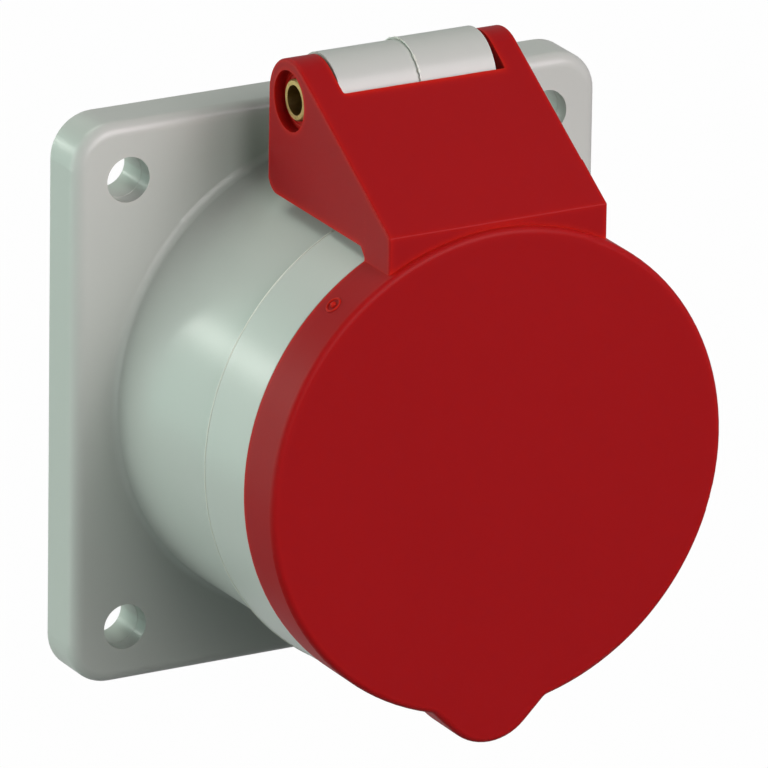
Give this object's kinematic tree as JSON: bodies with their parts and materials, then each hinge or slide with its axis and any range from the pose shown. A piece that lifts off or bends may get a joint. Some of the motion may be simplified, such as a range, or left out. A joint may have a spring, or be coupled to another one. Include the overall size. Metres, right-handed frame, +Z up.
{
  "type": "industrial panel socket",
  "caption": "Square-flanged round panel socket for three-phase plugs, with a keyway, sleeve contacts, a rear terminal block and a sprung hinged lid.",
  "frame": {"origin": "centre of the four flange holes, on the flange's rear face", "axes": "+Y into the panel along the barrel's axis, +Z up towards the hinge, +X to the right seen from the front"},
  "size_m": [0.075, 0.0674, 0.0861],
  "materials": {
    "housing_plastic": "satin moulded plastic, light grey with a green tinge",
    "lid_plastic": "satin moulded plastic, red",
    "insert_plastic": "satin moulded plastic, red",
    "terminal_plastic": "moulded plastic, black",
    "seal_rubber": "soft rubber, black",
    "pin_brass": "drawn tube, dull",
    "spring_steel": "drawn spring wire",
    "contact_plating": "turned bar, nickel plated",
    "screw_steel": "zinc plated steel"
  },
  "bodies": {
    "socket_body": {"housing": "housing_plastic", "flange_seal": "seal_rubber", "contact_insert": "insert_plastic", "terminal_block": "terminal_plastic", "hinge_pin": "pin_brass", "lid_spring": "spring_steel", "insert_screws": "screw_steel", "joining_screws": "screw_steel", "terminal_screws": "screw_steel", "contact_earth": "contact_plating", "contact_l1": "contact_plating", "contact_l2": "contact_plating", "contact_l3": "contact_plating", "contact_neutral": "contact_plating", "sleeve_ring_earth": "spring_steel", "sleeve_ring_l1": "spring_steel", "sleeve_ring_l2": "spring_steel", "sleeve_ring_l3": "spring_steel", "sleeve_ring_neutral": "spring_steel"},
    "lid_body": {"lid": "lid_plastic", "lid_seal": "seal_rubber"}
  },
  "joints": [
    {"name": "lid_hinge", "type": "hinge", "parent": "socket_body", "child": "lid_body", "pos_m": [0, -0.0219, 0.04275], "axis": [-1, 0, 0], "range_deg": [0, 120], "stiffness_Nm_per_rad": 0.05, "springref_deg": -85.94, "deforming": ["lid_spring"]}
  ]
}
